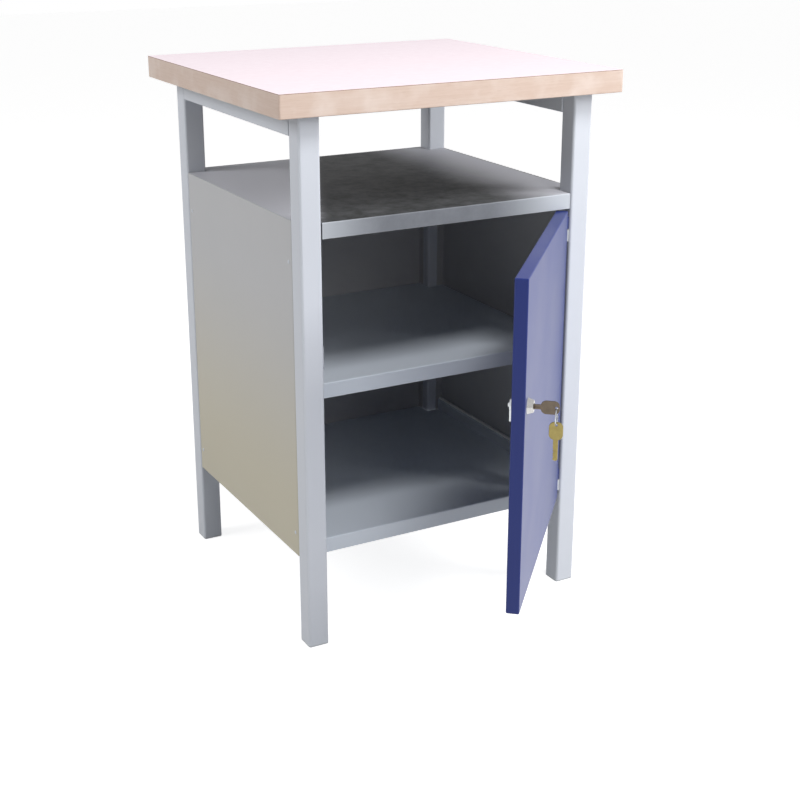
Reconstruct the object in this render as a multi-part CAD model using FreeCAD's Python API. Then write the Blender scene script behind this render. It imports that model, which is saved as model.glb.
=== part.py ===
"""Work table: tube frame, laminated worktop and a sheet-metal cabinet with a lockable swinging door.

Millimetres. Origin on the floor, midway between the legs. +Z up, +X to the right, front at -Y.
"""
import FreeCAD
import Part
import math
import os

from FreeCAD import Vector

# Overall table
table_height = 900.0
top_width = 600.0
top_depth = 550.0
top_overhang_side = 40.0
top_overhang_front = 25.0

# Worktop layers
core_thickness = 34.0
laminate_thickness = 1.0
backing_thickness = 1.0
edging_thickness = 8.0
top_corner_radius = 3.0
laminate_edge_radius = 0.6
edging_edge_radius = 1.5

# Square tubes of the legs and the top rails
leg_side = 35.0
rail_side = 35.0
tube_wall = 2.0
tube_corner = 4.0

# End caps in the feet
foot_base = 3.0
foot_edge_radius = 1.2
foot_plug_depth = 18.0
foot_plug_wall = 2.5
foot_plug_clearance = 0.15

# Screws that hold the worktop down on the rails
screw_diameter = 6.0
screw_head_diameter = 13.0
screw_head_height = 3.5
screw_bite = 22.0
screw_tip = 4.0
screw_rail_clearance = 0.3
screw_pilot_clearance = 0.05
screw_place_shares = (0.2, 0.8)

# Cabinet sheets
sheet = 1.0
bend = 1.0
cabinet_floor_gap = 150.0
open_space = 126.0
upper_space = 244.0
shelf_lip = 25.0
panel_inset = 1.0
panel_flange = 15.0
shelf_gap = 0.5
shelf_rear_gap = 1.0
lip_recess = 1.0
middle_set_back = 45.0
middle_side_gap = 0.3
bottom_set_back = 28.0
bottom_upstand = 22.0
bottom_hem = 10.0

# Bright trim on the cabinet floor's raised sides
trim_width = 5.0
trim_height = 3.5
trim_radius = 2.2
trim_edge = 2.0

# Runners under the middle shelf
runner_sheet = 1.5
runner_leg = 20.0
runner_ledge = 14.0

# Door pan
door_depth = 20.0
door_return = 15.0
door_edge_radius = 2.0
door_recess = 1.0
door_hinge_gap = 11.0
door_free_gap = 3.0
door_top_gap = 3.0
door_lip_cover = 8.0
door_seam = 0.6
door_open_angle = 48.0

# Stiffener inside the door
stiffener_depth = 14.0
stiffener_web = 32.0
stiffener_flange = 12.0
stiffener_end_gap = 4.0

# Lift-off hinges in the gap between the door and the right front leg
hinge_face_distance = 4.5
hinge_end_distance = 11.0
hinge_diameter = 10.0
hinge_half = 20.0
hinge_end_radius = 2.5
hinge_web = 5.0
hinge_washer = 1.2
hinge_play = 0.1
hinge_pin_diameter = 6.0
hinge_pin_reach = 15.0
hinge_pin_clearance = 0.05
hinge_bore_end = 1.0

# Strike on the left front leg, which is also the door's stop
strike_thickness = 1.5
strike_reach = 10.0
strike_foot = 10.0
strike_height = 40.0
strike_stop_gap = 0.4
cam_strike_gap = 0.6

# Cam lock near the door's free edge
lock_drop = 191.0
lock_edge_distance = 25.0
collar_diameter = 24.0
collar_front_diameter = 18.0
collar_projection = 9.0
collar_edge_radius = 2.0
barrel_diameter = 18.0
barrel_hole_clearance = 0.15
nut_flats = 23.0
nut_thickness = 5.0
plug_diameter = 10.0
plug_clearance = 0.05
plug_recess = 0.6
plug_shoulder = 0.2
tenon_side = 6.0
cam_thickness = 2.5
cam_hub_diameter = 18.0
cam_width = 13.0
cam_reach = 24.5
cam_tip_radius = 4.0
cam_hole_clearance = 0.05
cam_screw_diameter = 4.0
cam_screw_length = 8.0
cam_screw_head_diameter = 9.0
cam_screw_head_height = 2.8

# Flat keys
key_thickness = 2.0
key_bow_length = 27.0
key_bow_width = 20.0
key_bow_corner = 8.0
key_bow_edge_radius = 0.4
key_hole_diameter = 4.5
key_hole_inset = 4.4
key_neck = 10.0
key_blade_width = 7.0
key_blade_length = 22.0
key_tip = 2.2
key_groove_width = 1.8
key_groove_depth = 0.5
key_notch_width = 3.0
key_notch_place_shares = (0.2, 0.38, 0.56, 0.74)
key_notch_depth_shares = (0.16, 0.26, 0.12, 0.22)
keyway_side_clearance = 0.2
keyway_end_clearance = 1.0

# Ring that carries the second key
ring_diameter = 23.0
ring_wire = 1.8
ring_seat_gap = 0.3

# How far a cutting shape runs past what it cuts
overrun = 5.0

X = Vector(1, 0, 0)
Y = Vector(0, 1, 0)
Z = Vector(0, 0, 1)

# Places that follow from the sizes
top_thickness = core_thickness + laminate_thickness + backing_thickness
top_underside = table_height - top_thickness
leg_outer_x = top_width / 2 - top_overhang_side
leg_outer_y = top_depth / 2 - top_overhang_front
leg_inner_x = leg_outer_x - leg_side
leg_inner_y = leg_outer_y - leg_side
rail_underside = top_underside - rail_side
panel_outer_x = leg_outer_x - panel_inset
panel_outer_y = leg_outer_y - panel_inset
panel_inner_x = panel_outer_x - sheet
panel_inner_y = panel_outer_y - sheet
bottom_deck_height = cabinet_floor_gap + shelf_lip
top_deck_height = rail_underside - open_space
top_lip_underside = top_deck_height - shelf_lip
middle_deck_height = top_lip_underside - upper_space
shelf_rear = panel_inner_y - shelf_rear_gap

door_left = -leg_inner_x + door_free_gap
door_right = leg_inner_x - door_hinge_gap
door_front = -leg_outer_y + door_recess
door_back = door_front + door_depth
door_low = bottom_deck_height - door_lip_cover
door_high = top_lip_underside - door_top_gap
hinge_axis = Vector(leg_inner_x - door_hinge_gap / 2, door_front + hinge_face_distance, 0)
hinge_height = 2 * hinge_half + hinge_washer + hinge_play

strike_front = door_back + strike_stop_gap
cam_front = strike_front + strike_thickness + cam_strike_gap
barrel_end = cam_front - plug_shoulder
lock_height = door_high - lock_drop
lock_axis = Vector(door_left + lock_edge_distance, 0, lock_height)
plug_face = door_front - collar_projection + plug_recess
key_hole = lock_axis + Y * (plug_face - key_neck - key_bow_length + key_hole_inset)
wire_offset = (key_hole_diameter - ring_wire) / 2 - ring_seat_gap
ring_centre = key_hole - Z * (wire_offset + ring_diameter / 2)
spare_hole = ring_centre - Z * (ring_diameter / 2 + wire_offset)


def unit(vector):
    """The vector's direction, with length 1."""
    return Vector(vector).normalize()


def box(low, high):
    """Block between two opposite corners."""
    size = high - low
    return Part.makeBox(size.x, size.y, size.z, low)


def rounded_wire(points, radii):
    """Closed outline through the points, each corner rounded by its radius."""
    starts, middles, ends = [], [], []
    for index, corner in enumerate(points):
        before = unit(points[index - 1] - corner)
        after = unit(points[(index + 1) % len(points)] - corner)
        radius = radii[index]
        half = before.getAngle(after) / 2
        reach = radius / math.tan(half)
        depth = radius / math.sin(half) - radius
        starts.append(corner + before * reach)
        middles.append(corner + unit(before + after) * depth if radius else corner)
        ends.append(corner + after * reach)
    edges = []
    for index, radius in enumerate(radii):
        if radius:
            edges.append(Part.Arc(starts[index], middles[index], ends[index]).toShape())
        following = starts[(index + 1) % len(points)]
        if not ends[index].isEqual(following, Part.Precision.confusion()):
            edges.append(Part.LineSegment(ends[index], following).toShape())
    return Part.Wire(edges)


def prism(points, radii, run):
    """Solid with a rounded outline, drawn out along run."""
    return Part.Face(rounded_wire(points, radii)).extrude(run)


def rectangle(centre, across, up, width, height):
    """Corner points of a rectangle that lies along the across and up directions."""
    sides = ((-1, -1), (1, -1), (1, 1), (-1, 1))
    return [centre + across * (a * width / 2) + up * (b * height / 2) for a, b in sides]


def folded(path, thickness, run):
    """Bent sheet that lies on the left of the path, drawn out along run."""
    along = unit(run)
    ways = [unit(end - start) for start, end in zip(path, path[1:])]
    lefts = [along.cross(way) for way in ways]
    far = [path[0] + lefts[0] * thickness]
    near_radii = [0]
    far_radii = [0]
    for place in range(1, len(path) - 1):
        left, next_left = lefts[place - 1], lefts[place]
        spread = thickness / (1 + left.dot(next_left))
        far.append(path[place] + (left + next_left) * spread)
        turns_left = along.dot(ways[place - 1].cross(ways[place])) > 0
        near_radii.append(bend + thickness if turns_left else bend)
        far_radii.append(bend if turns_left else bend + thickness)
    far.append(path[-1] + lefts[-1] * thickness)
    near_radii.append(0)
    far_radii.append(0)
    return prism(path + far[::-1], near_radii + far_radii[::-1], run)


def mirrored(shape):
    """The same piece on the other side of the table's middle plane."""
    return shape.mirror(Vector(), X)


def tube(side, centre, across, up, run):
    """Length of square tube, starting with its section's centre at the given point."""
    outer = rectangle(centre, across, up, side, side)
    inside = side - 2 * tube_wall
    inner = rectangle(centre, across, up, inside, inside)
    inner_corner = max(tube_corner - tube_wall, 0)
    return prism(outer, [tube_corner] * 4, run).cut(prism(inner, [inner_corner] * 4, run))


def leg_centres():
    """Middle of each leg on the floor, by the leg's name."""
    x = leg_outer_x - leg_side / 2
    y = leg_outer_y - leg_side / 2
    return {
        "front_left": Vector(-x, -y, 0),
        "front_right": Vector(x, -y, 0),
        "rear_left": Vector(-x, y, 0),
        "rear_right": Vector(x, y, 0),
    }


def leg(centre):
    """Leg tube, from its end cap up to the worktop."""
    return tube(leg_side, centre + Z * foot_base, X, Y, Z * (top_underside - foot_base))


def foot_cap(centre):
    """Plastic end cap: a base as wide as the leg and a hollow plug inside it."""
    base = prism(rectangle(centre, X, Y, leg_side, leg_side), [tube_corner] * 4, Z * foot_base)
    bottom = [edge for edge in base.Edges if edge.BoundBox.ZMax < foot_base / 2]
    base = base.makeFillet(foot_edge_radius, bottom)
    width = leg_side - 2 * (tube_wall + foot_plug_clearance)
    hollow = width - 2 * foot_plug_wall
    corner = max(tube_corner - tube_wall, 0)
    start = centre + Z * foot_base
    plug = prism(rectangle(start, X, Y, width, width), [corner] * 4, Z * foot_plug_depth)
    core = prism(rectangle(start, X, Y, hollow, hollow), [0] * 4, Z * foot_plug_depth)
    return base.fuse(plug.cut(core)).removeSplitter()


def screw_places():
    """Where the worktop screws go, on the middle line of each rail."""
    side_x = leg_outer_x - rail_side / 2
    rear_y = leg_outer_y - rail_side / 2
    places = []
    for share in screw_place_shares:
        along_y = -leg_inner_y + 2 * leg_inner_y * share
        along_x = -leg_inner_x + 2 * leg_inner_x * share
        places += [Vector(-side_x, along_y, 0), Vector(side_x, along_y, 0), Vector(along_x, rear_y, 0)]
    return places


def without_screws(shape, clearance, low, high):
    """The shape with a hole for every worktop screw between two heights."""
    radius = screw_diameter / 2 + clearance
    length = high - low + 2 * overrun
    holes = [Part.makeCylinder(radius, length, place + Z * (low - overrun)) for place in screw_places()]
    return shape.cut(holes)


def side_rail():
    """Left top rail, between the front and rear legs."""
    centre = Vector(-leg_outer_x + rail_side / 2, -leg_inner_y, top_underside - rail_side / 2)
    rail = tube(rail_side, centre, X, Z, Y * (2 * leg_inner_y))
    return without_screws(rail, screw_rail_clearance, rail_underside, top_underside)


def rear_rail():
    """Rear top rail, between the rear legs."""
    centre = Vector(-leg_inner_x, leg_outer_y - rail_side / 2, top_underside - rail_side / 2)
    rail = tube(rail_side, centre, Y, Z, X * (2 * leg_inner_x))
    return without_screws(rail, screw_rail_clearance, rail_underside, top_underside)


def top_screw(place):
    """Worktop screw: flat-topped round head under the rail, shank and pointed tip."""
    head_radius = screw_head_diameter / 2
    shank_radius = screw_diameter / 2
    seat = place + Z * rail_underside
    face_radius = head_radius - screw_head_height / 2
    head = Part.makeCone(face_radius, head_radius, screw_head_height, seat - Z * screw_head_height)
    tip_height = top_underside + screw_bite
    shank = Part.makeCylinder(shank_radius, tip_height - screw_tip - rail_underside, seat)
    tip = Part.makeCone(shank_radius, 0, screw_tip, place + Z * (tip_height - screw_tip))
    return head.fuse([shank, tip]).removeSplitter()


def top_layer(low, thickness, inset):
    """Rectangular layer of the worktop, set in from the worktop's edge."""
    centre = Z * low
    corner = max(top_corner_radius - inset, 0)
    outline = rectangle(centre, X, Y, top_width - 2 * inset, top_depth - 2 * inset)
    return prism(outline, [corner] * 4, Z * thickness)


def laminate():
    """Pale laminate over the whole worktop, with its upper edge eased."""
    low = table_height - laminate_thickness
    layer = top_layer(low, laminate_thickness, 0)
    upper = [edge for edge in layer.Edges if edge.BoundBox.ZMin > low + laminate_thickness / 2]
    return layer.makeFillet(min(laminate_edge_radius, laminate_thickness / 2), upper)


def core_board():
    """Board inside the worktop, drilled for the screws."""
    low = top_underside + backing_thickness
    board = top_layer(low, core_thickness, edging_thickness)
    return without_screws(board, screw_pilot_clearance, low, top_underside + screw_bite)


def backing():
    """Thin sheet under the core board, drilled for the screws."""
    board = top_layer(top_underside, backing_thickness, edging_thickness)
    return without_screws(board, screw_pilot_clearance, top_underside, top_underside)


def edging_frame():
    """The four edge strips before they are mitred, with the lower outer edge eased."""
    height = core_thickness + backing_thickness
    outer = top_layer(top_underside, height, 0)
    lower = [edge for edge in outer.Edges if edge.BoundBox.ZMax < top_underside + height / 2]
    outer = outer.makeFillet(edging_edge_radius, lower)
    return outer.cut(top_layer(top_underside - overrun, height + 2 * overrun, edging_thickness))


def edge_strip(frame, side_x, side_y):
    """One edge strip, cut at 45 degrees at both ends."""
    out = Vector(side_x, side_y, 0)
    across = Z.cross(out)
    reach = abs(out.dot(Vector(top_width / 2, top_depth / 2, 0)))
    half = abs(across.dot(Vector(top_width / 2, top_depth / 2, 0)))
    base = Z * (top_underside - overrun)
    deep = 2 * edging_thickness
    points = [
        base + out * (reach + overrun) - across * (half + overrun),
        base + out * (reach + overrun) + across * (half + overrun),
        base + out * (reach - deep) + across * (half - deep),
        base + out * (reach - deep) - across * (half - deep),
    ]
    return frame.common(prism(points, [0] * 4, Z * (top_thickness + 2 * overrun)))


def side_panel():
    """Left side panel with flanges that lie on the legs."""
    low = Z * cabinet_floor_gap
    path = [
        low + Vector(-panel_outer_x + panel_flange, leg_inner_y, 0),
        low + Vector(-panel_outer_x, leg_inner_y, 0),
        low + Vector(-panel_outer_x, -leg_inner_y, 0),
        low + Vector(-panel_outer_x + panel_flange, -leg_inner_y, 0),
    ]
    return folded(path, sheet, Z * (top_deck_height - cabinet_floor_gap))


def back_panel():
    """Back panel with flanges that lie on the rear legs."""
    low = Z * cabinet_floor_gap
    path = [
        low + Vector(leg_inner_x, panel_outer_y - panel_flange, 0),
        low + Vector(leg_inner_x, panel_outer_y, 0),
        low + Vector(-leg_inner_x, panel_outer_y, 0),
        low + Vector(-leg_inner_x, panel_outer_y - panel_flange, 0),
    ]
    return folded(path, sheet, Z * (top_deck_height - cabinet_floor_gap))


def deck_front_to_back(deck, front):
    """Shelf between the legs, with its front and rear lips turned down."""
    half = leg_inner_x - sheet - shelf_gap
    start = X * -half
    path = [
        start + Vector(0, shelf_rear, deck - shelf_lip),
        start + Vector(0, shelf_rear, deck),
        start + Vector(0, front, deck),
        start + Vector(0, front, deck - shelf_lip),
    ]
    return folded(path, sheet, X * (2 * half))


def side_deck_ends(front):
    """Where the full-width stretch of a shelf starts and ends, clear of the legs and the panel flanges."""
    rear = leg_inner_y - sheet - bend
    return max(-rear, front + bend + sheet), rear


def lipped_shelf(deck, front, side_gap):
    """Shelf notched round the legs, with a lip turned down on each of its four sides."""
    start_y, end_y = side_deck_ends(front)
    half = panel_inner_x - side_gap
    start = Y * start_y
    path = [
        start + Vector(-half, 0, deck - shelf_lip),
        start + Vector(-half, 0, deck),
        start + Vector(half, 0, deck),
        start + Vector(half, 0, deck - shelf_lip),
    ]
    across = folded(path, sheet, Y * (end_y - start_y))
    return across.fuse(deck_front_to_back(deck, front)).removeSplitter()


def bottom_shelf():
    """Cabinet floor with raised sides, hemmed over to meet the side panels."""
    front = -leg_outer_y + bottom_set_back
    start_y, end_y = side_deck_ends(front)
    deck = bottom_deck_height
    rim = deck + bottom_upstand
    inner = panel_inner_x - bottom_hem
    start = Y * start_y
    path = [
        start + Vector(-panel_inner_x, 0, rim),
        start + Vector(-inner, 0, rim),
        start + Vector(-inner, 0, deck),
        start + Vector(inner, 0, deck),
        start + Vector(inner, 0, rim),
        start + Vector(panel_inner_x, 0, rim),
    ]
    across = folded(path, sheet, Y * (end_y - start_y))
    return across.fuse(deck_front_to_back(deck, front)).removeSplitter()


def floor_trim():
    """Left bright strip on top of the cabinet floor's hem."""
    start_y, end_y = side_deck_ends(-leg_outer_y + bottom_set_back)
    rim = bottom_deck_height + bottom_upstand
    edge = -panel_inner_x + bottom_hem - trim_edge
    centre = Vector(edge - trim_width / 2, start_y, rim + trim_height / 2)
    points = rectangle(centre, X, Z, trim_width, trim_height)
    return prism(points, [0, 0, trim_radius, trim_radius], Y * (end_y - start_y))


def shelf_runner():
    """Left angle runner under the middle shelf's side lip."""
    start_y, end_y = side_deck_ends(-leg_outer_y + middle_set_back)
    ledge = middle_deck_height - shelf_lip
    start = Y * start_y
    path = [
        start + Vector(-panel_inner_x, 0, ledge - runner_leg),
        start + Vector(-panel_inner_x, 0, ledge),
        start + Vector(-panel_inner_x + runner_ledge, 0, ledge),
    ]
    return folded(path, runner_sheet, Y * (end_y - start_y))


def opened(shape):
    """A piece of the door, turned from the closed position to where the door stands open."""
    return shape.rotate(hinge_axis, Z, door_open_angle)


def door_pan():
    """Door folded from one sheet, with returned edges and a hole for the lock."""
    low = Vector(door_left, door_front, door_low)
    high = Vector(door_right, door_back, door_high)
    wall = Vector(sheet, sheet, sheet)
    block = box(low, high)
    block = block.makeFillet(door_edge_radius, block.Edges)
    hollow = box(low + wall, high - wall)
    hollow = hollow.makeFillet(max(door_edge_radius - sheet, sheet / 2), hollow.Edges)
    border = Vector(door_return, 0, door_return)
    window = box(low + border + Y * (door_depth / 2), high - border + Y * overrun)
    lock = Part.makeCylinder(
        barrel_diameter / 2 + barrel_hole_clearance,
        door_depth / 2 + overrun,
        lock_axis + Y * (door_front - overrun),
        Y,
    )
    return block.cut([hollow, window, lock] + door_seams())


def door_seams():
    """Slits at 45 degrees where the door's returned edges meet at its corners."""
    middle = Vector((door_left + door_right) / 2, door_back - sheet, (door_low + door_high) / 2)
    half_width = (door_right - door_left) / 2
    half_height = (door_high - door_low) / 2
    seams = []
    for side_x, side_z in ((-1, -1), (-1, 1), (1, -1), (1, 1)):
        inward = unit(Vector(-side_x, 0, -side_z))
        across = Y.cross(inward) * (door_seam / 2)
        corner = middle + Vector(side_x * half_width, 0, side_z * half_height)
        start = corner + inward * (door_edge_radius * math.sqrt(2))
        end = corner + inward * (door_return * math.sqrt(2) + overrun)
        points = [start - across, end - across, end + across, start + across]
        seams.append(prism(points, [0] * 4, Y * overrun))
    return seams


def door_stiffener():
    """Hat-shaped channel on the inside of the door's skin."""
    middle = (door_left + door_right) / 2
    skin = door_front + sheet
    low = door_low + sheet + stiffener_end_gap
    half = stiffener_web / 2
    foot = half + stiffener_flange
    start = Vector(middle, skin, low)
    path = [
        start + X * foot,
        start + X * half,
        start + X * half + Y * stiffener_depth,
        start - X * half + Y * stiffener_depth,
        start - X * half,
        start - X * foot,
    ]
    lifted = [point + Y * sheet for point in path]
    return folded(lifted, sheet, Z * (door_high - sheet - stiffener_end_gap - low))


def hinge_foot(upper):
    """Lower end of the upper or lower hinge, on the hinge's axis."""
    if upper:
        return hinge_axis + Z * (door_high - hinge_end_distance - hinge_height)
    return hinge_axis + Z * (door_low + hinge_end_distance)


def hinge_body(foot, rounded_end):
    """One half of a hinge before it is drilled or welded on, with one end rounded over."""
    body = Part.makeCylinder(hinge_diameter / 2, hinge_half, foot)
    ends = [edge for edge in body.Edges if abs(edge.CenterOfMass.z - rounded_end) < hinge_half / 4]
    return body.makeFillet(hinge_end_radius, ends)


def hinge_post(upper):
    """Half of a hinge that is welded to the leg, with its pin."""
    foot = hinge_foot(upper)
    reach = leg_inner_x - hinge_axis.x
    web = box(foot - Y * (hinge_web / 2), foot + Vector(reach, hinge_web / 2, hinge_half))
    pin_height = hinge_half + hinge_washer + hinge_play + hinge_pin_reach
    pin = Part.makeCylinder(hinge_pin_diameter / 2, pin_height, foot)
    return web.fuse([hinge_body(foot, foot.z), pin]).removeSplitter()


def hinge_washer_ring(upper):
    """Washer between the two halves of a hinge."""
    seat = hinge_foot(upper) + Z * hinge_half
    ring = Part.makeCylinder(hinge_diameter / 2, hinge_washer, seat)
    bore = hinge_pin_diameter / 2 + hinge_pin_clearance
    return ring.cut(Part.makeCylinder(bore, hinge_washer, seat))


def hinge_sleeve(upper):
    """Half of a hinge that is welded to the door and turns on the pin."""
    foot = hinge_foot(upper) + Z * (hinge_half + hinge_washer + hinge_play)
    reach = hinge_axis.x - door_right
    web = box(foot - Vector(reach, hinge_web / 2, 0), foot + Vector(0, hinge_web / 2, hinge_half))
    bore = hinge_pin_diameter / 2 + hinge_pin_clearance
    hole = Part.makeCylinder(bore, overrun + hinge_pin_reach + hinge_bore_end, foot - Z * overrun)
    return web.fuse(hinge_body(foot, foot.z + hinge_half)).cut(hole).removeSplitter()


def lock_strike():
    """Angle on the left front leg that stops the door and holds the cam."""
    start = Vector(-leg_inner_x, strike_front, lock_height - strike_height / 2)
    path = [
        start + Vector(strike_reach, 0, 0),
        start,
        start + Vector(0, strike_foot, 0),
    ]
    return folded(path[::-1], strike_thickness, Z * strike_height)


def around_lock(profile, radii):
    """Turned lock piece, from points given as distance from the lock's axis and place along Y."""
    points = [lock_axis + X * radius + Y * place for radius, place in profile]
    return Part.Face(rounded_wire(points, radii)).revolve(lock_axis, Y, 360)


def lock_housing():
    """Lock's collar in front of the door and its barrel through the door."""
    bore = plug_diameter / 2 + plug_clearance
    collar_front = door_front - collar_projection
    profile = [
        (bore, collar_front),
        (collar_front_diameter / 2, collar_front),
        (collar_diameter / 2, door_front),
        (barrel_diameter / 2, door_front),
        (barrel_diameter / 2, barrel_end),
        (bore, barrel_end),
    ]
    return around_lock(profile, [0, collar_edge_radius, 0, 0, 0, 0])


def lock_nut():
    """Hexagon nut that holds the lock on the door's skin."""
    corner = nut_flats / math.sqrt(3)
    seat = lock_axis + Y * (door_front + sheet)
    turns = [math.radians(60 * index) for index in range(6)]
    points = [seat + X * (corner * math.cos(turn)) + Z * (corner * math.sin(turn)) for turn in turns]
    hole = Part.makeCylinder(barrel_diameter / 2 + barrel_hole_clearance, nut_thickness, seat, Y)
    return prism(points, [0] * 6, Y * nut_thickness).cut(hole)


def lock_plug():
    """Turning core of the lock, with a keyway in front and a square tenon behind."""
    body = Part.makeCylinder(plug_diameter / 2, cam_front - plug_face, lock_axis + Y * plug_face, Y)
    tenon = prism(
        rectangle(lock_axis + Y * cam_front, X, Z, tenon_side, tenon_side), [0] * 4, Y * cam_thickness
    )
    keyway = prism(
        rectangle(
            lock_axis + Y * (plug_face - overrun),
            X,
            Z,
            key_thickness + 2 * keyway_side_clearance,
            key_blade_width + 2 * keyway_side_clearance,
        ),
        [0] * 4,
        Y * (overrun + key_blade_length + keyway_end_clearance),
    )
    tail = cam_front + cam_thickness
    hole = Part.makeCylinder(
        cam_screw_diameter / 2 + cam_hole_clearance, cam_screw_length, lock_axis + Y * tail, Y * -1
    )
    return body.fuse(tenon).cut([keyway, hole]).removeSplitter()


def lock_cam():
    """Cam plate on the plug's tenon, hanging down while the lock is open."""
    face = lock_axis + Y * cam_front
    hub = Part.makeCylinder(cam_hub_diameter / 2, cam_thickness, face, Y)
    arm_points = [
        face + X * (cam_width / 2),
        face + X * (cam_width / 2) - Z * cam_reach,
        face - X * (cam_width / 2) - Z * cam_reach,
        face - X * (cam_width / 2),
    ]
    arm = prism(arm_points, [0, cam_tip_radius, cam_tip_radius, 0], Y * cam_thickness)
    side = tenon_side + 2 * cam_hole_clearance
    hole_points = rectangle(face - Y * overrun, X, Z, side, side)
    hole = prism(hole_points, [0] * 4, Y * (cam_thickness + 2 * overrun))
    return hub.fuse(arm).cut(hole).removeSplitter()


def cam_screw():
    """Screw that holds the cam on the plug."""
    seat = lock_axis + Y * (cam_front + cam_thickness)
    head_radius = cam_screw_head_diameter / 2
    face_radius = head_radius - cam_screw_head_height / 2
    head = Part.makeCone(head_radius, face_radius, cam_screw_head_height, seat, Y)
    shank = Part.makeCylinder(cam_screw_diameter / 2, cam_screw_length - cam_hole_clearance, seat, Y * -1)
    return head.fuse(shank).removeSplitter()


def flat_key(hole_centre, to_tip, across):
    """Key cut from a flat blank, placed by its ring hole and the way its blade points."""
    thick = unit(to_tip.cross(across)) * key_thickness
    base = hole_centre - thick / 2
    bow_middle = base + to_tip * (key_bow_length / 2 - key_hole_inset)
    bow = prism(
        rectangle(bow_middle, to_tip, across, key_bow_length, key_bow_width), [key_bow_corner] * 4, thick
    )
    rims = [edge for edge in bow.Edges if abs(edge.tangentAt(edge.FirstParameter).dot(unit(thick))) < 0.5]
    bow = bow.makeFillet(key_bow_edge_radius, rims)
    root = base + to_tip * (key_bow_length / 2 - key_hole_inset)
    shoulder = base + to_tip * (key_bow_length - key_hole_inset + key_neck)
    end = shoulder + to_tip * key_blade_length
    half = across * (key_blade_width / 2)
    points = [root - half, end - to_tip * key_tip - half, end, end - to_tip * key_tip + half]
    for place, depth in sorted(zip(key_notch_place_shares, key_notch_depth_shares), reverse=True):
        middle = shoulder + to_tip * (key_blade_length * place) + half
        points += [
            middle + to_tip * (key_notch_width / 2),
            middle - across * (key_blade_width * depth),
            middle - to_tip * (key_notch_width / 2),
        ]
    points.append(root + half)
    blade = prism(points, [0] * len(points), thick)
    hole = Part.makeCylinder(
        key_hole_diameter / 2, key_thickness + 2 * overrun, base - unit(thick) * overrun, thick
    )
    throat = base + to_tip * (key_bow_length - key_hole_inset)
    middle = (throat + end + to_tip * overrun) / 2
    length = (end - throat).Length + overrun
    groove_points = rectangle(middle, to_tip, across, length, key_groove_width)
    groove = prism(groove_points, [0] * 4, unit(thick) * (key_groove_depth + overrun))
    grooves = [
        groove.translated(thick - unit(thick) * key_groove_depth),
        groove.translated(unit(thick) * -overrun),
    ]
    return bow.fuse(blade).cut([hole] + grooves).removeSplitter()


def key_ring():
    """Wire ring through the holes of both keys."""
    return Part.makeTorus(ring_diameter / 2, ring_wire / 2, ring_centre, Y)


def table_pieces():
    """Everything that stands still, by node name."""
    pieces = {}
    for name, centre in leg_centres().items():
        pieces["leg_" + name] = leg(centre)
        pieces["foot_cap_" + name] = foot_cap(centre)
    pieces["top_rail_left"] = side_rail()
    pieces["top_rail_right"] = mirrored(side_rail())
    pieces["top_rail_rear"] = rear_rail()
    pieces["top_screws"] = Part.makeCompound([top_screw(place) for place in screw_places()])
    pieces["top_laminate"] = laminate()
    pieces["top_core"] = core_board()
    pieces["top_backing"] = backing()
    frame = edging_frame()
    pieces["edge_strip_front"] = edge_strip(frame, 0, -1)
    pieces["edge_strip_rear"] = edge_strip(frame, 0, 1)
    pieces["edge_strip_left"] = edge_strip(frame, -1, 0)
    pieces["edge_strip_right"] = edge_strip(frame, 1, 0)
    pieces["side_panel_left"] = side_panel()
    pieces["side_panel_right"] = mirrored(side_panel())
    pieces["back_panel"] = back_panel()
    pieces["top_shelf"] = lipped_shelf(top_deck_height, -leg_outer_y + lip_recess, 0)
    middle_front = -leg_outer_y + middle_set_back
    pieces["middle_shelf"] = lipped_shelf(middle_deck_height, middle_front, middle_side_gap)
    pieces["bottom_shelf"] = bottom_shelf()
    pieces["floor_trim_left"] = floor_trim()
    pieces["floor_trim_right"] = mirrored(floor_trim())
    pieces["shelf_runner_left"] = shelf_runner()
    pieces["shelf_runner_right"] = mirrored(shelf_runner())
    for name, upper in (("upper", True), ("lower", False)):
        pieces["hinge_post_" + name] = hinge_post(upper)
        pieces["hinge_washer_" + name] = hinge_washer_ring(upper)
    pieces["lock_strike"] = lock_strike()
    return pieces


def door_pieces():
    """Everything that swings with the door, by node name, in the closed position."""
    return {
        "door_pan": door_pan(),
        "door_stiffener": door_stiffener(),
        "hinge_sleeve_upper": hinge_sleeve(True),
        "hinge_sleeve_lower": hinge_sleeve(False),
        "lock_housing": lock_housing(),
        "lock_nut": lock_nut(),
        "lock_plug": lock_plug(),
        "lock_cam": lock_cam(),
        "cam_screw": cam_screw(),
        "key": flat_key(key_hole, Y, Z),
        "key_ring": key_ring(),
        "spare_key": flat_key(spare_hole, Z * -1, Y),
    }


def main():
    os.makedirs("parts", exist_ok=True)
    pieces = table_pieces()
    pieces.update({name: opened(shape) for name, shape in door_pieces().items()})
    for name, shape in pieces.items():
        shape.exportStep("parts/" + name + ".step")


main()
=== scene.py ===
"""Work table with a laminated top, a grey tube frame and a sheet-metal cabinet with a blue lockable door."""
import math

import bpy
from mathutils import Matrix, Vector


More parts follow.
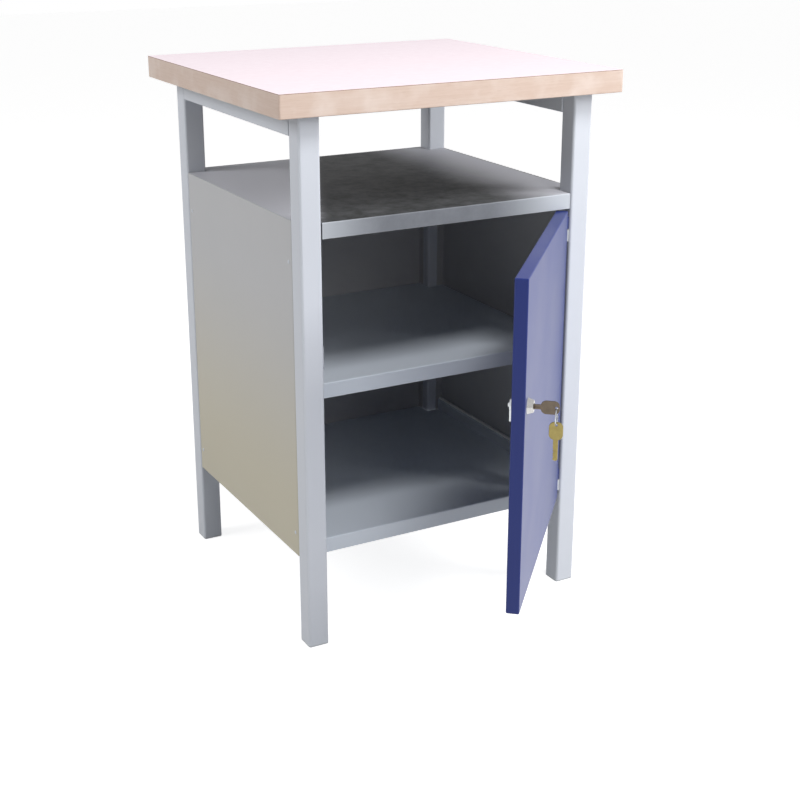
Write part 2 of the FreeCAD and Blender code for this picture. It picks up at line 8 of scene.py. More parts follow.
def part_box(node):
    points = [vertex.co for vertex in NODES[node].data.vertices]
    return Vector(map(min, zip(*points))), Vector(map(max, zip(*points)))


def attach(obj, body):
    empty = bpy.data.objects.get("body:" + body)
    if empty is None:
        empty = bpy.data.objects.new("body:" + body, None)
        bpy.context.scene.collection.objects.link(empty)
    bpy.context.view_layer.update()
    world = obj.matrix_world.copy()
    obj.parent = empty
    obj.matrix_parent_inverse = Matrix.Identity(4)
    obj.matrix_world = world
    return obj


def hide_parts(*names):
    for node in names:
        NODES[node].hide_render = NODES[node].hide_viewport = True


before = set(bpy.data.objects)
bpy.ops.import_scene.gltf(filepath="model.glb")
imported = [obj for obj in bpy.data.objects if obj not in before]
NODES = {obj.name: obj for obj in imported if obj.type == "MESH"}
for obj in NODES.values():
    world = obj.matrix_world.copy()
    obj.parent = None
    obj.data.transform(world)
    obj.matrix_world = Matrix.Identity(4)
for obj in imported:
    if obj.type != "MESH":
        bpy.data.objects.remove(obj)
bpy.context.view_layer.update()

MM = 0.001
SIDES = ("left", "right")
LEG_PLACES = ("front_left", "front_right", "rear_left", "rear_right")
WHITE = (1.0, 1.0, 1.0, 1.0)

# Sockets of the Mix node in its colour mode, which share their names with other sockets
SHARE, FIRST, SECOND, MIXED = 0, 6, 7, 2

# Painted warm reflection of the floor on the left panel: heights where it starts and where it is full, in
# metres, and how far it goes
REFLECTION_TOP, REFLECTION_FOOT, REFLECTION_SHARE = 0.62, 0.2, 0.75

# Painted shade of the worktop on the top shelf, in metres across it: where it comes in on the left and where
# it fades on the right
LIP_SHADE = ((-0.275, -0.1), (0.06, 0.22))
DECK_SHADE = ((-0.135, -0.065), (0.09, 0.26))
# The left border of the deck's painted shade: how far it leans across for each metre back, and how far it
# frays
SHADE_LEAN, SHADE_FRAY = 0.457, 0.06

# Sizes of the pieces made here, in millimetres
RING_SIZES = {"Radius": 11.5, "Wire width": 1.6, "Wire height": 0.84, "Rounding": 0.3}
RIVET_SIZES = {"Head radius": 3.2, "Head height": 0.9}
WELD_SIZES = {"Drop radius": 2.0, "Drop step": 1.7}
SCREW_SIZES = {
    "Head radius": 6.5, "Head height": 3.5, "Shank radius": 3.0, "Shank length": 57.0,
    "Recess width": 1.3, "Recess span": 7.0, "Recess depth": 2.2,
}
# Rivets: distance from the upright edges of a panel, from its foot and from its top, in millimetres
RIVET_INSET, RIVET_FOOT, RIVET_HEAD = 12.0, 38.0, 65.0
# Welds: how deep a bead sits, and its distance from a rail's sides, foot and top, in millimetres
WELD_SINK, WELD_INSET, WELD_FOOT, WELD_HEAD = 0.5, 4.0, 3.0, 2.0
# Screws: distance from the middle of a rail, as a share of half its length
SCREW_SPREAD = 0.6
# Angle from the closed door to the door at rest, which turns the key ring too
DOOR_OPEN = math.radians(48.0)

# Studio: strength of the white surroundings as a light, reach of the floor in metres and its glow to the eye
WORLD_LIGHT = 0.2
FLOOR_REACH, FLOOR_GLOW = 12.0, 0.8
# Lamps: the point that they are turned to, then name, place and size in metres, and power in watts
LAMP_AIM = Vector((0.0, -0.1, 0.5))
LAMPS = (
    ("key_softbox", (0.35, -1.75, 3.35), 0.9, 62.0),
    ("left_softbox", (-2.7, 0.6, 2.2), 1.2, 41.0),
    ("right_softbox", (2.2, -1.7, 1.9), 1.0, 55.0),
    ("front_softbox", (-0.2, -2.9, 1.6), 1.0, 17.0),
)

# Camera: the photograph's side, the focal length and the row of the optical centre, in pixels
PHOTO_SIDE, FOCAL_PIXELS, CENTRE_ROW = 800, 1425.3, 370
# Its sensor in millimetres, its place in metres, and its turn and tilt in radians
SENSOR_WIDTH = 36.0
CAMERA_PLACE = (-1.1174, -2.1207, 1.1773)
CAMERA_YAW, CAMERA_PITCH = -0.5012, -0.3279


def linear(code):
    """Linear RGBA of an sRGB hex colour."""
    parts = [int(code[at:at + 2], 16) / 255 for at in (1, 3, 5)]
    return [c / 12.92 if c <= 0.04045 else ((c + 0.055) / 1.055) ** 2.4 for c in parts] + [1.0]


def fill(tree, node, inputs):
    """Sets or links inputs of a node."""
    for key, value in inputs.items():
        if isinstance(value, bpy.types.NodeSocket):
            tree.links.new(value, node.inputs[key])
        else:
            node.inputs[key].default_value = value


def add(tree, kind, inputs=None, **settings):
    """Adds a node with its settings, and sets or links its inputs."""
    node = tree.nodes.new(kind)
    for name, value in settings.items():
        setattr(node, name, value)
    fill(tree, node, inputs or {})
    return node


def per_mm(size):
    """Texture scale whose pattern repeats about every size millimetres."""
    return 1.0 / (size * MM)


def new_finish(name, **values):
    """Material with a Principled shader; returns it, its tree, its shader and Object coordinates."""
    finish = bpy.data.materials.new(name)
    finish.use_nodes = True
    tree = finish.node_tree
    shader = tree.nodes["Principled BSDF"]
    fill(tree, shader, {socket.replace("_", " "): value for socket, value in values.items()})
    place = add(tree, "ShaderNodeTexCoord").outputs["Object"]
    return finish, tree, shader, place


def dress(finish, *names):
    """Gives these CAD nodes the finish."""
    for name in names:
        slots = NODES[name].data.materials
        slots.clear()
        slots.append(finish)


def clouded(tree, place, size, detail, deep, pale, roughness=0.5):
    """Cloudy noise about size millimetres wide, and a tone that runs with it from deep to pale."""
    noise = {"Vector": place, "Scale": per_mm(size), "Detail": detail, "Roughness": roughness}
    cloud = add(tree, "ShaderNodeTexNoise", noise).outputs["Fac"]
    ends = {SHARE: cloud, FIRST: linear(deep), SECOND: linear(pale)}
    return cloud, add(tree, "ShaderNodeMix", ends, data_type="RGBA").outputs[MIXED]


def grained(tree, place, size, detail, strength, depth):
    """Surface normal of a fine grain, about size millimetres wide and depth millimetres deep."""
    noise = {"Vector": place, "Scale": per_mm(size), "Detail": detail}
    grain = add(tree, "ShaderNodeTexNoise", noise).outputs["Fac"]
    relief = {"Height": grain, "Strength": strength, "Distance": depth * MM}
    return add(tree, "ShaderNodeBump", relief).outputs[0]


def upward(tree):
    """How far a surface faces up: 1 on a level top, 0 on an upright side."""
    normal = add(tree, "ShaderNodeNewGeometry").outputs["Normal"]
    return add(tree, "ShaderNodeSeparateXYZ", {0: normal}).outputs["Z"]


def paint_floor_reflection(tree, place, colour, warm):
    """Colour that turns warm towards the foot of a panel, as a painted reflection of a warm floor."""
    height = add(tree, "ShaderNodeSeparateXYZ", {0: place}).outputs["Z"]
    limits = {"Value": height, "From Min": REFLECTION_TOP, "From Max": REFLECTION_FOOT, "To Max": REFLECTION_SHARE}
    low = add(tree, "ShaderNodeMapRange", limits, interpolation_type="SMOOTHSTEP").outputs[0]
    ends = {SHARE: low, FIRST: colour, SECOND: linear(warm)}
    return add(tree, "ShaderNodeMix", ends, data_type="RGBA").outputs[MIXED]


def paint_worktop_shade(tree, place, lip_pale, lip_dark, deck_pale, deck_dark):
    """Colour of a shelf with the worktop's shade painted on: its deck and front lip are dark in the middle,
    with noise that frays the deck's left border and thins the shade in places.
    """
    spot = add(tree, "ShaderNodeSeparateXYZ", {0: place}).outputs
    noise = {"Vector": place, "Scale": per_mm(30), "Detail": 6.0, "Roughness": 0.7}
    shade_noise = add(tree, "ShaderNodeTexNoise", noise).outputs["Fac"]
    limits = {"Value": shade_noise, "From Min": 0.35, "From Max": 0.75, "To Min": 1.0, "To Max": 0.9}
    shade_kept = add(tree, "ShaderNodeMapRange", limits).outputs[0]
    leaning = {0: spot["Y"], 1: -SHADE_LEAN, 2: spot["X"]}
    lean = add(tree, "ShaderNodeMath", leaning, operation="MULTIPLY_ADD").outputs[0]
    fraying = {0: shade_noise, 1: SHADE_FRAY, 2: lean}
    frayed = add(tree, "ShaderNodeMath", fraying, operation="MULTIPLY_ADD").outputs[0]
    tones = []
    for across, (left, right), pale, dark in (
        (spot["X"], LIP_SHADE, lip_pale, linear(lip_dark)),
        (frayed, DECK_SHADE, linear(deck_pale), linear(deck_dark)),
    ):
        limits = {"Value": across, "From Min": left[0], "From Max": left[1]}
        rise = add(tree, "ShaderNodeMapRange", limits, interpolation_type="SMOOTHSTEP").outputs[0]
        limits = {"Value": spot["X"], "From Min": right[1], "From Max": right[0]}
        fall = add(tree, "ShaderNodeMapRange", limits, interpolation_type="SMOOTHSTEP").outputs[0]
        painted_shade = add(tree, "ShaderNodeMath", {0: rise, 1: fall}, operation="MULTIPLY").outputs[0]
        amount = add(tree, "ShaderNodeMath", {0: painted_shade, 1: shade_kept}, operation="MULTIPLY").outputs[0]
        ends = {SHARE: amount, FIRST: pale, SECOND: dark}
        tones.append(add(tree, "ShaderNodeMix", ends, data_type="RGBA").outputs[MIXED])
    limits = {"Value": upward(tree), "From Min": 0.9, "From Max": 0.99}
    level = add(tree, "ShaderNodeMapRange", limits).outputs[0]
    ends = {SHARE: level, FIRST: tones[0], SECOND: tones[1]}
    return add(tree, "ShaderNodeMix", ends, data_type="RGBA").outputs[MIXED]


# Powder coat, sprayed and baked: satin, with a fine orange-peel surface and slightly uneven tone.
def powder_coat(name, pale, deep, roughness, gloss=0.5, warm=None, painted_shade=None):
    finish, tree, shader, place = new_finish(name, IOR=1.5, Specular_IOR_Level=gloss)
    cloud, colour = clouded(tree, place, 160, 4.0, deep, pale)
    # Painted warm reflection of the floor, strongest at a panel's foot
    if warm:
        colour = paint_floor_reflection(tree, place, colour, warm)
    # Painted shade of the worktop on a shelf's deck and front lip
    if painted_shade:
        colour = paint_worktop_shade(tree, place, colour, *painted_shade)
    limits = {"Value": cloud, "To Min": roughness - 0.06, "To Max": roughness + 0.06}
    rough = add(tree, "ShaderNodeMapRange", limits).outputs[0]
    # The real peel is about 1 mm; it is drawn at 2.5 mm so that it shows.
    peel = grained(tree, place, 2.5, 2.0, 0.12, 0.15)
    fill(tree, shader, {"Base Color": colour, "Roughness": rough, "Normal": peel})
    return finish


# High-pressure laminate, pressed: pale and nearly plain, with a faint mottle and a dark line at its cut edge.
def pale_laminate():
    finish, tree, shader, place = new_finish("pale_laminate", IOR=1.5, Roughness=0.5, Specular_IOR_Level=0.2)
    face = clouded(tree, place, 14, 6.0, "#E6D6DD", "#F0E4EA", 0.65)[1]
    limits = {"Value": upward(tree), "From Min": 0.35, "From Max": 0.75, "To Min": 1.0, "To Max": 0.0}
    edge = add(tree, "ShaderNodeMapRange", limits).outputs[0]
    ends = {SHARE: edge, FIRST: face, SECOND: linear("#8A6A58")}
    colour = add(tree, "ShaderNodeMix", ends, data_type="RGBA").outputs[MIXED]
    fill(tree, shader, {"Base Color": colour, "Normal": grained(tree, place, 1.5, 2.0, 0.08, 0.1)})
    return finish


# Beech, planed and lacquered: pinkish tan with long grain, short dark flecks and broad pale patches.
def beech(name, stretch):
    finish, tree, shader, place = new_finish(name, IOR=1.5, Roughness=0.5)
    run = add(tree, "ShaderNodeMapping", {"Vector": place, "Scale": stretch}).outputs[0]
    grain, tone = clouded(tree, run, 3, 5.0, "#C4AB9A", "#D9C6BB", 0.6)
    noise = {"Vector": place, "Scale": per_mm(45), "Detail": 3.0}
    patch = add(tree, "ShaderNodeTexNoise", noise).outputs["Fac"]
    limits = {"Value": patch, "From Min": 0.45, "From Max": 0.7, "To Max": 0.55}
    pale = add(tree, "ShaderNodeMapRange", limits).outputs[0]
    ends = {SHARE: pale, FIRST: tone, SECOND: linear("#E1D3CA")}
    patched = add(tree, "ShaderNodeMix", ends, data_type="RGBA").outputs[MIXED]
    cells = {"Vector": run, "Scale": per_mm(1.6)}
    fleck = add(tree, "ShaderNodeTexVoronoi", cells).outputs["Distance"]
    limits = {"Value": fleck, "From Max": 0.22, "To Min": 0.45, "To Max": 0.0}
    dark = add(tree, "ShaderNodeMapRange", limits).outputs[0]
    ends = {SHARE: dark, FIRST: patched, SECOND: linear("#AE9480")}
    colour = add(tree, "ShaderNodeMix", ends, data_type="RGBA").outputs[MIXED]
    relief = {"Height": grain, "Strength": 0.15, "Distance": 0.2 * MM}
    bump = add(tree, "ShaderNodeBump", relief).outputs[0]
    fill(tree, shader, {"Base Color": colour, "Normal": bump})
    return finish


# Pressed board and its backing sheet: dull, with the outlines of the chips showing faintly.
def chip_board(name, pale, deep):
    finish, tree, shader, place = new_finish(name, Roughness=0.8)
    chips = add(tree, "ShaderNodeTexVoronoi", {"Vector": place, "Scale": per_mm(4)}).outputs["Distance"]
    ends = {SHARE: chips, FIRST: linear(pale), SECOND: linear(deep)}
    tone = add(tree, "ShaderNodeMix", ends, data_type="RGBA").outputs[MIXED]
    fill(tree, shader, {"Base Color": tone})
    return finish


# Plated or solid metal: bright, with fine scratches along one way and a cloudy tone.
def metal(name, pale, deep, roughness):
    finish, tree, shader, place = new_finish(name, Metallic=1.0)
    tone = clouded(tree, place, 7, 5.0, deep, pale)[1]
    run = add(tree, "ShaderNodeMapping", {"Vector": place, "Scale": (1.0, 1.0, 0.1)}).outputs[0]
    noise = {"Vector": run, "Scale": per_mm(0.8), "Detail": 3.0}
    scratch = add(tree, "ShaderNodeTexNoise", noise).outputs["Fac"]
    limits = {"Value": scratch, "To Min": roughness - 0.08, "To Max": roughness + 0.1}
    rough = add(tree, "ShaderNodeMapRange", limits).outputs[0]
    relief = {"Height": scratch, "Strength": 0.1, "Distance": 0.05 * MM}
    bump = add(tree, "ShaderNodeBump", relief).outputs[0]
    fill(tree, shader, {"Base Color": tone, "Roughness": rough, "Normal": bump})
    return finish


# Moulded plastic: even, slightly waxy, with a fine spark-eroded grain.
def moulded(name, pale, deep, roughness):
    finish, tree, shader, place = new_finish(name, IOR=1.49, Roughness=roughness)
    tone = clouded(tree, place, 12, 3.0, deep, pale)[1]
    fill(tree, shader, {"Base Color": tone, "Normal": grained(tree, place, 0.6, 1.0, 0.15, 0.08)})
    return finish


grey_paint = powder_coat("light_grey_powder_coat", "#D5D9E1", "#CACED6", 0.42, gloss=0.2)
panel_paint = powder_coat("light_grey_powder_coat_of_the_panels", "#BABABC", "#AFB0B2", 0.45)
# The left panel has a painted warm reflection of the floor towards its foot
floor_reflecting_panel_paint = powder_coat(
    "light_grey_powder_coat_with_painted_floor_reflection_low", "#BABABC", "#AFB0B2", 0.45, warm="#BBB294",
)
shelf_paint = powder_coat("grey_powder_coat_of_the_shelves", "#CCD3DC", "#C0C7D0", 0.5)
# The top shelf has the worktop's shade painted on, dark in the middle of its deck and lip
deck_paint = powder_coat(
    "grey_powder_coat_with_painted_worktop_shade", "#C6CBD2", "#BABFC6", 0.6, gloss=0.12,
    painted_shade=("#75787E", "#CACBD3", "#2B2C2C"),
)
blue_paint = powder_coat("blue_powder_coat", "#26357A", "#1F2C6A", 0.34, gloss=0.28)
trim_white = powder_coat("white_coated_zinc_strip", "#F7F7F6", "#EDEDEC", 0.35)
zinc = metal("bright_zinc_plating", "#DADDE0", "#B9BDC0", 0.3)
nickel = metal("nickel_plating", "#C9C8C6", "#A3A2A0", 0.2)
brass = metal("worn_brass", "#A3955F", "#7C7046", 0.36)
# Brass darkened to paint the shade on the key in the lock
shaded_brass = metal("brass_with_key_shade_painted_in", "#7A6E60", "#585048", 0.4)
foot_plastic = moulded("grey_polyethylene", "#C3C7CB", "#B6BABF", 0.5)

dress(grey_paint, *["leg_" + place for place in LEG_PLACES])
dress(grey_paint, "top_rail_left", "top_rail_right", "top_rail_rear")
dress(floor_reflecting_panel_paint, "side_panel_left")
dress(panel_paint, "side_panel_right", "back_panel")
dress(deck_paint, "top_shelf")
dress(shelf_paint, "middle_shelf", "bottom_shelf", "shelf_runner_left", "shelf_runner_right")
dress(blue_paint, "door_pan", "door_stiffener", "hinge_sleeve_upper", "hinge_sleeve_lower")
dress(foot_plastic, *["foot_cap_" + place for place in LEG_PLACES])
dress(pale_laminate(), "top_laminate")
dress(beech("beech_edge_along_x", (0.06, 1.0, 1.0)), "edge_strip_front", "edge_strip_rear")
dress(beech("beech_edge_along_y", (1.0, 0.06, 1.0)), "edge_strip_left", "edge_strip_right")
dress(chip_board("particle_board", "#C9AC82", "#A88A5E"), "top_core")
dress(chip_board("backing_sheet", "#D9D2C8", "#CBC3B7"), "top_backing")
dress(zinc, "top_screws", "lock_nut", "lock_cam", "cam_screw", "key_ring", "lock_strike")
dress(zinc, "hinge_post_upper", "hinge_post_lower")
dress(trim_white, "floor_trim_left", "floor_trim_right")
dress(nickel, "lock_housing")
# The key in the lock takes the brass darkened as painted shade
dress(shaded_brass, "key")
dress(brass, "lock_plug", "spare_key", "hinge_washer_upper", "hinge_washer_lower")


def new_tree(name, labels):
    """Geometry tree with an input for each size; returns the tree and the outputs of its input node."""
    tree = bpy.data.node_groups.new(name, "GeometryNodeTree")
    tree.interface.new_socket("Geometry", in_out="INPUT", socket_type="NodeSocketGeometry")
    for label in labels:
        tree.interface.new_socket(label, in_out="INPUT", socket_type="NodeSocketFloat")
    tree.interface.new_socket("Geometry", in_out="OUTPUT", socket_type="NodeSocketGeometry")
    return tree, add(tree, "NodeGroupInput").outputs


def close_tree(tree, shape, finish):
    """Ends a geometry tree: real meshes, and the finish on them."""
    real = add(tree, "GeometryNodeRealizeInstances", {0: shape}).outputs[0]
    coated = add(tree, "GeometryNodeSetMaterial", {"Geometry": real, "Material": finish}).outputs[0]
    add(tree, "NodeGroupOutput", {0: coated})


def grown(name, base, tree, sizes, place=None):
    """Plain mesh object that a geometry tree makes from a base mesh, with its sizes in millimetres."""
    source = bpy.data.objects.new(name + "_source", base)
    bpy.context.scene.collection.objects.link(source)
    step = source.modifiers.new(name, "NODES")
    step.node_group = tree
    for socket in tree.interface.items_tree:
        if socket.name in sizes:
            step[socket.identifier] = sizes[socket.name] * MM
    result = source.evaluated_get(bpy.context.evaluated_depsgraph_get())
    made = bpy.data.meshes.new_from_object(result)
    bpy.data.objects.remove(source)
    made.name = name
    if place:
        made.transform(place)
    piece = bpy.data.objects.new(name, made)
    bpy.context.scene.collection.objects.link(piece)
    return piece


def marks(name, points, pairs=()):
    """Base mesh of bare points, in millimetres, with edges between the given pairs of them."""
    mesh = bpy.data.meshes.new(name)
    mesh.from_pydata([Vector(point) * MM for point in points], list(pairs), [])
    return mesh


def corners(node):
    """Lowest and highest corner of a CAD node at rest, in millimetres."""
    return [Vector(corner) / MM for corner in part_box(node)]


def split_ring_tree():
    """Flat wire wound twice, with a step where one turn climbs over to the other."""
    # Points along the wire, the share of a turn that each end stops short and each half of the step takes,
    # and the height of a turn above or below the middle as a share of the wire's height
    points, gap, rise = 260, 0.04, 0.53
    tree, sizes = new_tree("split_ring", RING_SIZES)
    line = add(tree, "GeometryNodeCurvePrimitiveLine").outputs[0]
    dense = add(tree, "GeometryNodeResampleCurve", {"Curve": line, "Count": points}).outputs[0]
    along = add(tree, "GeometryNodeSplineParameter").outputs["Factor"]
    limits = {"Value": along, "To Min": gap, "To Max": 2.0 - gap}
    turns = add(tree, "ShaderNodeMapRange", limits).outputs[0]
    angle = add(tree, "ShaderNodeMath", {0: turns, 1: math.tau}, operation="MULTIPLY").outputs[0]
    high = add(tree, "ShaderNodeMath", {0: sizes["Wire height"], 1: rise}, operation="MULTIPLY").outputs[0]
    low = add(tree, "ShaderNodeMath", {0: high, 1: -1.0}, operation="MULTIPLY").outputs[0]
    limits = {"Value": turns, "From Min": 1.0 - gap, "From Max": 1.0 + gap, "To Min": low, "To Max": high}
    climb = add(tree, "ShaderNodeMapRange", limits, interpolation_type="SMOOTHSTEP").outputs[0]
    spot = {2: climb}
    for axis, wave in enumerate(("COSINE", "SINE")):
        swing = add(tree, "ShaderNodeMath", {0: angle}, operation=wave).outputs[0]
        reach = add(tree, "ShaderNodeMath", {0: swing, 1: sizes["Radius"]}, operation="MULTIPLY")
        spot[axis] = reach.outputs[0]
    path = add(tree, "ShaderNodeCombineXYZ", spot).outputs[0]
    wound = add(tree, "GeometryNodeSetPosition", {"Geometry": dense, "Position": path}).outputs[0]
    level = add(tree, "GeometryNodeSetCurveNormal", {"Curve": wound}, mode="Z_UP").outputs[0]
    section = {0: sizes["Wire width"], 1: sizes["Wire height"]}
    flat = add(tree, "GeometryNodeCurvePrimitiveQuadrilateral", section).outputs[0]
    edges = {"Curve": flat, "Radius": sizes["Rounding"], "Count": 4}
    soft = add(tree, "GeometryNodeFilletCurve", edges, mode="POLY").outputs[0]
    sweep = {"Curve": level, "Profile Curve": soft, "Fill Caps": True}
    close_tree(tree, add(tree, "GeometryNodeCurveToMesh", sweep).outputs[0], zinc)
    return tree


def rivet_tree():
    """A low round head on every point, flattened along X."""
    tree, sizes = new_tree("rivet_heads", RIVET_SIZES)
    ball = add(tree, "GeometryNodeMeshUVSphere", {"Segments": 24, "Rings": 16, "Radius": 1.0}).outputs[0]
    smooth = add(tree, "GeometryNodeSetShadeSmooth", {"Geometry": ball}).outputs[0]
    reach = {0: sizes["Head height"], 1: sizes["Head radius"], 2: sizes["Head radius"]}
    scale = add(tree, "ShaderNodeCombineXYZ", reach).outputs[0]
    heads = {"Points": sizes["Geometry"], "Instance": smooth, "Scale": scale}
    close_tree(tree, add(tree, "GeometryNodeInstanceOnPoints", heads).outputs[0], grey_paint)
    return tree


def weld_tree():
    """Overlapping round drops of uneven size along every edge, as a hand-laid bead shows them."""
    tree, sizes = new_tree("weld_beads", WELD_SIZES)
    lines = add(tree, "GeometryNodeMeshToCurve", {"Mesh": sizes["Geometry"]}).outputs[0]
    steps = {"Curve": lines, "Length": sizes["Drop step"]}
    dots = add(tree, "GeometryNodeResampleCurve", steps, mode="LENGTH").outputs[0]
    ball = {"Segments": 16, "Rings": 10, "Radius": sizes["Drop radius"]}
    drop = add(tree, "GeometryNodeMeshUVSphere", ball).outputs[0]
    smooth = add(tree, "GeometryNodeSetShadeSmooth", {"Geometry": drop}).outputs[0]
    # Inputs 2 and 3 and output 1 are the node's smallest, largest and drawn value as plain numbers.
    uneven = add(tree, "FunctionNodeRandomValue", {2: 0.8, 3: 1.1, "Seed": 5}, data_type="FLOAT").outputs[1]
    drops = {"Points": dots, "Instance": smooth, "Scale": uneven}
    close_tree(tree, add(tree, "GeometryNodeInstanceOnPoints", drops).outputs[0], grey_paint)
    return tree


def screw_tree():
    """Pan-head screw with a cross recess and a plain shank on every point, head down."""
    tree, sizes = new_tree("worktop_screws", SCREW_SIZES)
    ball = add(tree, "GeometryNodeMeshUVSphere", {"Segments": 40, "Rings": 24, "Radius": 1.0}).outputs[0]
    reach = {0: sizes["Head radius"], 1: sizes["Head radius"], 2: sizes["Head height"]}
    scale = add(tree, "ShaderNodeCombineXYZ", reach).outputs[0]
    dome = add(tree, "GeometryNodeTransform", {"Geometry": ball, "Scale": scale}).outputs[0]
    # A block above the seat takes the upper half of the dome away.
    width, height = 20.0 * MM, 10.0 * MM
    block = add(tree, "GeometryNodeMeshCube", {"Size": (width, width, height)}).outputs[0]
    raised = {"Geometry": block, "Translation": (0.0, 0.0, height / 2)}
    tools = [add(tree, "GeometryNodeTransform", raised).outputs[0]]
    span = {0: sizes["Recess span"], 1: sizes["Recess width"], 2: sizes["Recess depth"]}
    bar_size = add(tree, "ShaderNodeCombineXYZ", span).outputs[0]
    bar = add(tree, "GeometryNodeMeshCube", {"Size": bar_size}).outputs[0]
    sunk = add(tree, "ShaderNodeMath", {0: sizes["Head height"], 1: -1.0}, operation="MULTIPLY").outputs[0]
    tip = add(tree, "ShaderNodeCombineXYZ", {2: sunk}).outputs[0]
    for turn in (0.0, math.pi / 2):
        turned = {"Geometry": bar, "Translation": tip, "Rotation": (0.0, 0.0, turn)}
        tools.append(add(tree, "GeometryNodeTransform", turned).outputs[0])
    cut = add(tree, "GeometryNodeMeshBoolean", {"Mesh 1": dome}, operation="DIFFERENCE", solver="EXACT")
    for tool in tools:
        fill(tree, cut, {"Mesh 2": tool})
    head = add(tree, "GeometryNodeSetShadeSmooth", {"Geometry": cut.outputs[0]}).outputs[0]
    rod = {"Vertices": 24, "Radius": sizes["Shank radius"], "Depth": sizes["Shank length"]}
    shank = add(tree, "GeometryNodeMeshCylinder", rod).outputs[0]
    half = add(tree, "ShaderNodeMath", {0: sizes["Shank length"], 1: 0.5}, operation="MULTIPLY").outputs[0]
    lift = add(tree, "ShaderNodeCombineXYZ", {2: half}).outputs[0]
    stem = add(tree, "GeometryNodeTransform", {"Geometry": shank, "Translation": lift}).outputs[0]
    screw = add(tree, "GeometryNodeJoinGeometry")
    for shape in (head, stem):
        fill(tree, screw, {0: shape})
    screws = {"Points": sizes["Geometry"], "Instance": screw.outputs[0]}
    close_tree(tree, add(tree, "GeometryNodeInstanceOnPoints", screws).outputs[0], zinc)
    return tree


def key_ring():
    """Split ring through the holes of both keys, in the place of the plain ring."""
    low, high = corners("key_ring")
    centre = Matrix.Translation((low + high) / 2 * MM)
    upright = centre @ Matrix.Rotation(DOOR_OPEN, 4, "Z") @ Matrix.Rotation(math.pi / 2, 4, "X")
    ring = grown("split_ring", marks("split_ring_base", [(0, 0, 0)]), split_ring_tree(), RING_SIZES, upright)
    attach(ring, "ring")
    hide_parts("key_ring")


def panel_rivets():
    """Rivet heads on the outside of the side panels, low and high beside each leg."""
    spots = []
    for side in SIDES:
        low, high = corners("side_panel_" + side)
        outside = low.x if side == "left" else high.x
        for along in (low.y + RIVET_INSET, high.y - RIVET_INSET):
            spots += [(outside, along, low.z + RIVET_FOOT), (outside, along, high.z - RIVET_HEAD)]
    rivets = grown("panel_rivets", marks("panel_rivet_places", spots), rivet_tree(), RIVET_SIZES)
    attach(rivets, "table")


def frame_welds():
    """Weld beads at the ends of the top rails, on the inner side and below."""
    points = []
    rear_low, rear_high = corners("top_rail_rear")
    for side in SIDES:
        low, high = corners("top_rail_" + side)
        inner, outer = (high.x, low.x) if side == "left" else (low.x, high.x)
        outwards = math.copysign(1.0, outer)
        beside = inner + outwards * WELD_SINK
        inset = outwards * WELD_INSET
        below = low.z + WELD_SINK
        for end in (low.y, high.y):
            points += [(beside, end, low.z + WELD_FOOT), (beside, end, high.z - WELD_HEAD)]
            points += [(edge, end, below) for edge in (inner + inset, outer - inset)]
        points += [(inner, rear_low.y + WELD_INSET, below), (inner, rear_high.y - WELD_INSET, below)]
    pairs = [(at, at + 1) for at in range(0, len(points), 2)]
    welds = grown("frame_welds", marks("weld_lines", points, pairs), weld_tree(), WELD_SIZES)
    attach(welds, "table")


def worktop_screws():
    """Screws up through the rails into the worktop, in the place of the plain ones."""
    spots = []
    for rail, length_axis in (("left", 1), ("right", 1), ("rear", 0)):
        low, high = corners("top_rail_" + rail)
        for end in (-1, 1):
            spot = (low + high) / 2
            spot[length_axis] += end * SCREW_SPREAD * (high - low)[length_axis] / 2
            spot.z = low.z
            spots.append(spot)
    screws = grown("worktop_screws", marks("screw_places", spots), screw_tree(), SCREW_SIZES)
    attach(screws, "table")
    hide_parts("top_screws")


def shown(tree):
    """1 for rays that the eye follows, straight, mirrored or through glass, and 0 for light on the object."""
    ray = add(tree, "ShaderNodeLightPath").outputs
    direct = {0: ray["Is Camera Ray"], 1: ray["Is Glossy Ray"]}
    seen = add(tree, "ShaderNodeMath", direct, operation="MAXIMUM").outputs[0]
    through = {0: seen, 1: ray["Is Transmission Ray"]}
    return add(tree, "ShaderNodeMath", through, operation="MAXIMUM").outputs[0]


def surroundings():
    """White to the eye, with a little light from all sides."""
    world = bpy.data.worlds.new("studio")
    world.use_nodes = True
    tree = world.node_tree
    limits = {"Value": shown(tree), "To Min": WORLD_LIGHT, "To Max": 1.0}
    level = add(tree, "ShaderNodeMapRange", limits).outputs[0]
    fill(tree, tree.nodes["Background"], {"Color": WHITE, "Strength": level})
    bpy.context.scene.world = world


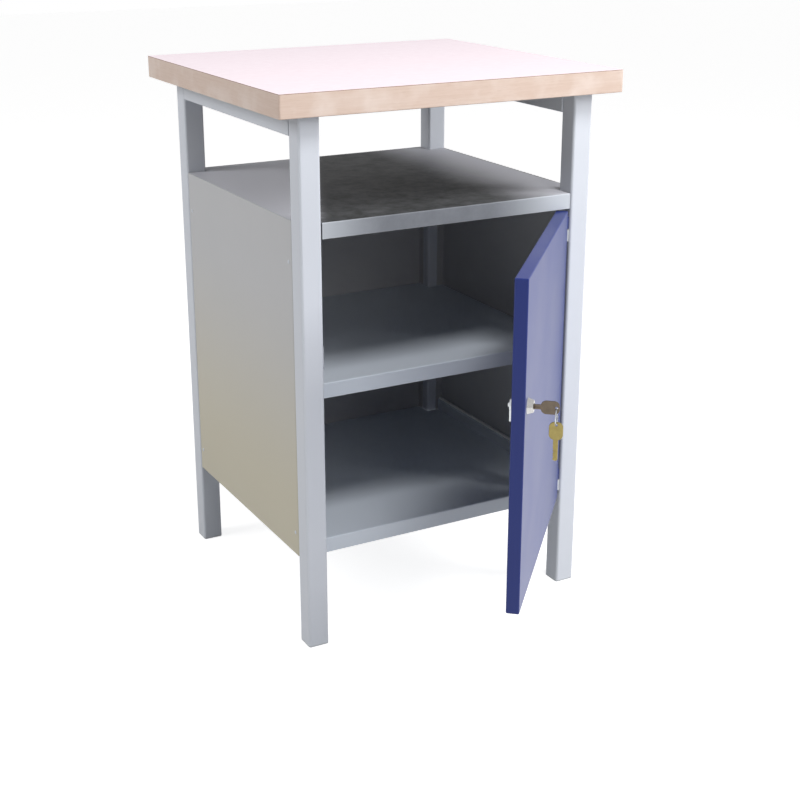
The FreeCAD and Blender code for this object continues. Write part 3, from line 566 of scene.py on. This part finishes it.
def floor():
    """Pale matt floor that glows to white for the eye and keeps the table's shadow."""
    mesh = bpy.data.meshes.new("floor")
    far = FLOOR_REACH
    mesh.from_pydata([(-far, -far, 0), (far, -far, 0), (far, far, 0), (-far, far, 0)], [], [(0, 1, 2, 3)])
    paint = {"Base_Color": linear("#C4C4C4"), "Roughness": 0.9, "Emission_Color": WHITE}
    finish, tree, shader = new_finish("pale_floor", **paint)[:3]
    glow = add(tree, "ShaderNodeMath", {0: shown(tree), 1: FLOOR_GLOW}, operation="MULTIPLY").outputs[0]
    fill(tree, shader, {"Emission Strength": glow})
    mesh.materials.append(finish)
    ground = bpy.data.objects.new("floor", mesh)
    bpy.context.scene.collection.objects.link(ground)


def lamps():
    """Soft lamps round the table, all turned to the same point."""
    for name, place, size, power in LAMPS:
        lamp = bpy.data.lights.new(name, "AREA")
        lamp.size = size
        lamp.energy = power
        stand = bpy.data.objects.new(name, lamp)
        stand.location = place
        stand.rotation_euler = (LAMP_AIM - Vector(place)).to_track_quat("-Z", "Y").to_euler()
        # Gloss mirrors the white surroundings and not the lamps, which made the worktop clip from behind.
        stand.visible_glossy = False
        bpy.context.scene.collection.objects.link(stand)


def camera():
    """Camera where the photograph was taken from."""
    lens = bpy.data.cameras.new("camera")
    lens.sensor_width = SENSOR_WIDTH
    lens.lens = FOCAL_PIXELS / PHOTO_SIDE * SENSOR_WIDTH
    lens.shift_y = (CENTRE_ROW - PHOTO_SIDE / 2) / PHOTO_SIDE
    stand = bpy.data.objects.new("camera", lens)
    level = Vector((-math.sin(CAMERA_YAW), math.cos(CAMERA_YAW), 0.0))
    forward = level * math.cos(CAMERA_PITCH) + Vector((0.0, 0.0, math.sin(CAMERA_PITCH)))
    stand.location = CAMERA_PLACE
    stand.rotation_euler = forward.to_track_quat("-Z", "Y").to_euler()
    bpy.context.scene.collection.objects.link(stand)
    bpy.context.scene.camera = stand


key_ring()
panel_rivets()
frame_welds()
worktop_screws()
bpy.context.scene.view_settings.view_transform = "Standard"
surroundings()
floor()
lamps()
camera()
